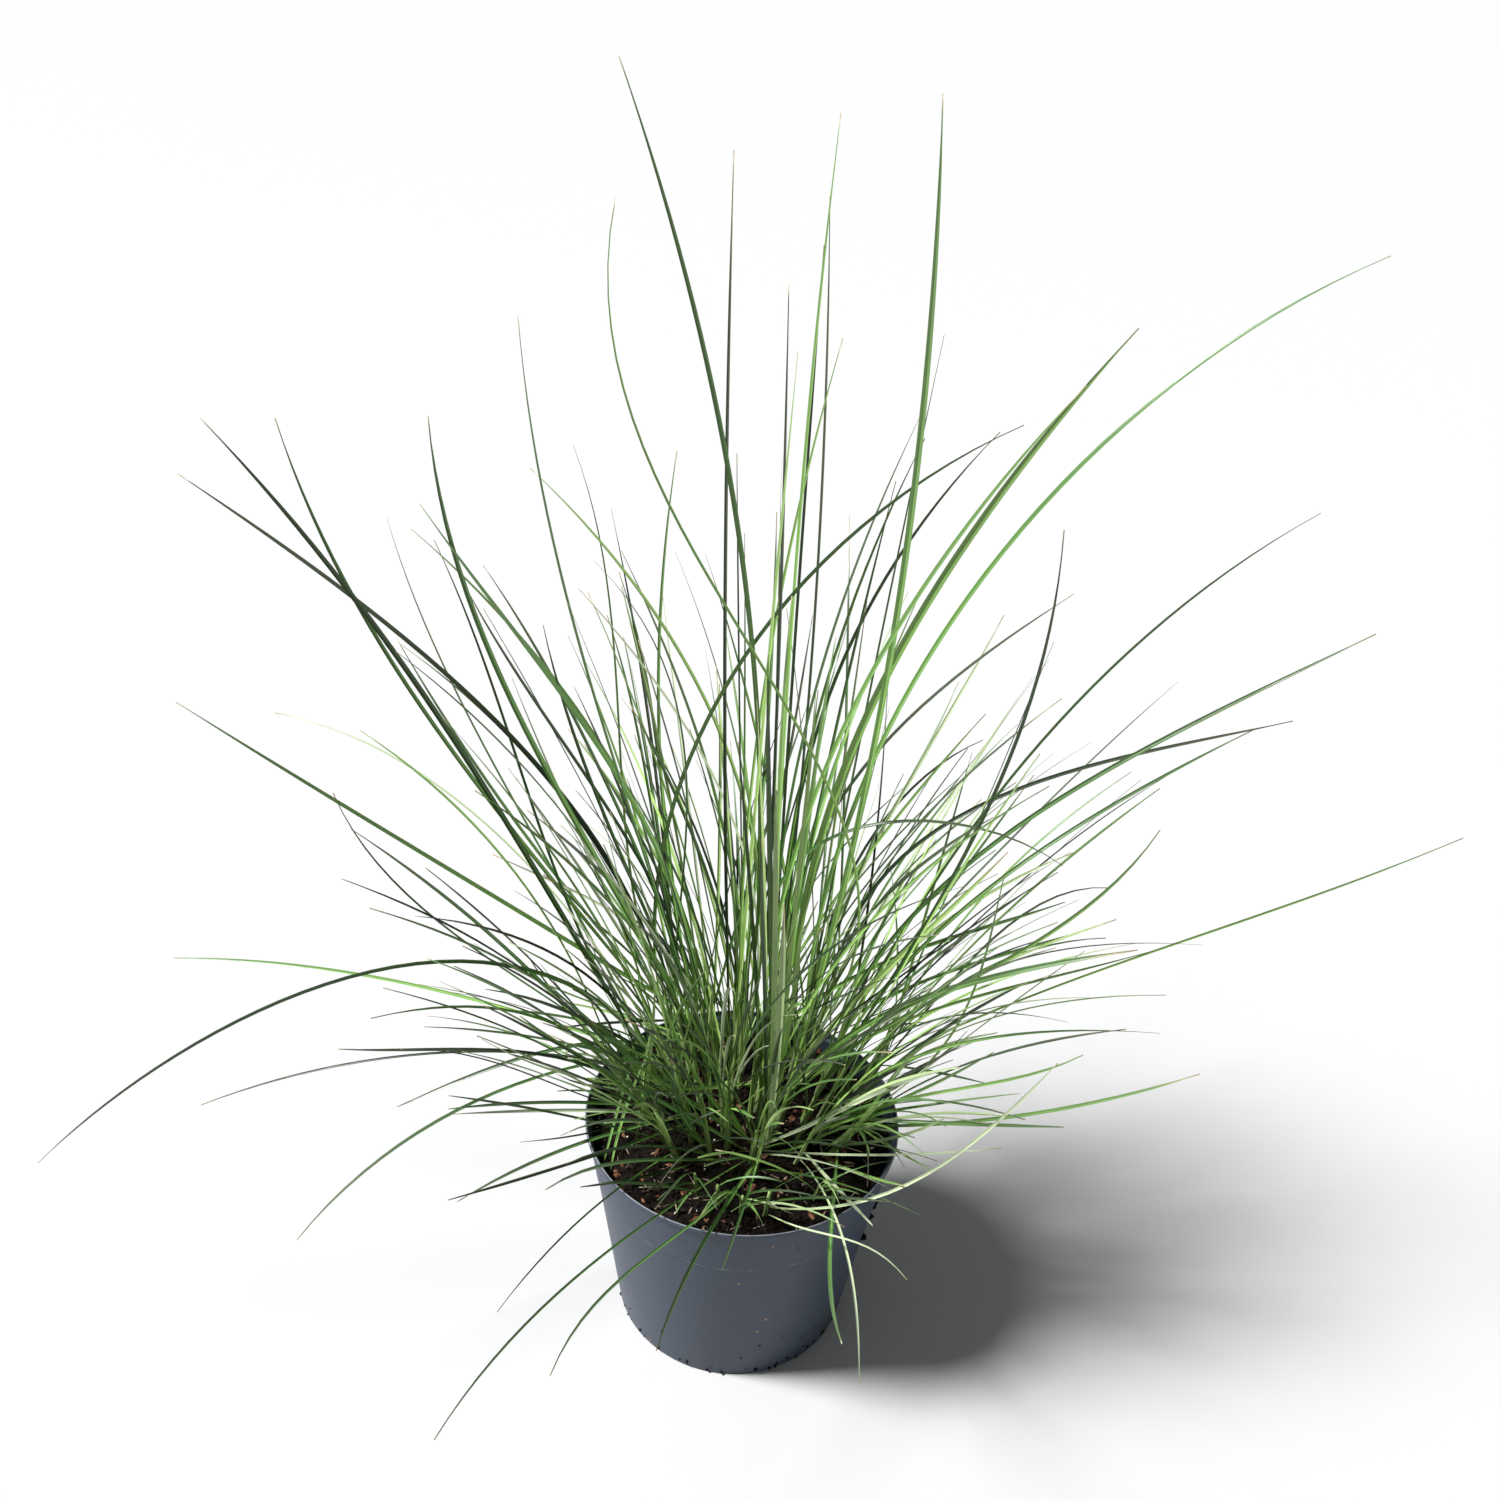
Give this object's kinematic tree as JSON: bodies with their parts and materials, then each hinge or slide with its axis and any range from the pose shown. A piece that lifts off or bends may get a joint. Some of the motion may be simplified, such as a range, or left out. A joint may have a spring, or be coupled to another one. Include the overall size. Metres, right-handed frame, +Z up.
{
  "type": "potted ornamental grass",
  "caption": "A clump of long, narrow arching grass leaves growing from lumpy soil in a round, tapered plastic nursery pot with a banded rim and drain holes",
  "frame": {"origin": "the middle of the flat underside of the pot, where it stands on the ground", "axes": "+Z up along the pot's axis; +X to the right and +Y away, as the plant is seen from its front at -Y"},
  "size_m": [0.9457, 0.6414, 0.8771],
  "materials": {
    "pot_plastic": "matte slate-grey moulded plastic",
    "potting_soil": "dark peat with reddish-brown bark chips and pale fibres",
    "leaf_green": "satin green leaf with a pale midrib"
  },
  "bodies": {
    "root": {"pot": "pot_plastic", "soil": "potting_soil", "shoot_01": "leaf_green", "shoot_02": "leaf_green", "shoot_03": "leaf_green", "shoot_04": "leaf_green", "shoot_05": "leaf_green", "shoot_06": "leaf_green", "shoot_07": "leaf_green", "shoot_08": "leaf_green", "shoot_09": "leaf_green", "shoot_10": "leaf_green", "shoot_11": "leaf_green", "shoot_12": "leaf_green", "shoot_13": "leaf_green", "shoot_14": "leaf_green", "shoot_15": "leaf_green", "shoot_16": "leaf_green", "shoot_17": "leaf_green", "shoot_18": "leaf_green", "shoot_19": "leaf_green", "shoot_20": "leaf_green", "shoot_21": "leaf_green", "shoot_22": "leaf_green", "shoot_23": "leaf_green", "shoot_24": "leaf_green", "shoot_25": "leaf_green", "shoot_26": "leaf_green", "shoot_27": "leaf_green", "shoot_28": "leaf_green", "shoot_29": "leaf_green", "shoot_30": "leaf_green", "shoot_31": "leaf_green", "shoot_32": "leaf_green", "shoot_33": "leaf_green", "shoot_34": "leaf_green", "shoot_35": "leaf_green", "shoot_36": "leaf_green", "shoot_37": "leaf_green", "shoot_38": "leaf_green", "shoot_39": "leaf_green", "shoot_40": "leaf_green", "shoot_41": "leaf_green", "shoot_42": "leaf_green", "shoot_43": "leaf_green", "shoot_44": "leaf_green", "shoot_45": "leaf_green", "shoot_46": "leaf_green", "shoot_47": "leaf_green", "shoot_48": "leaf_green"}
  },
  "joints": []
}
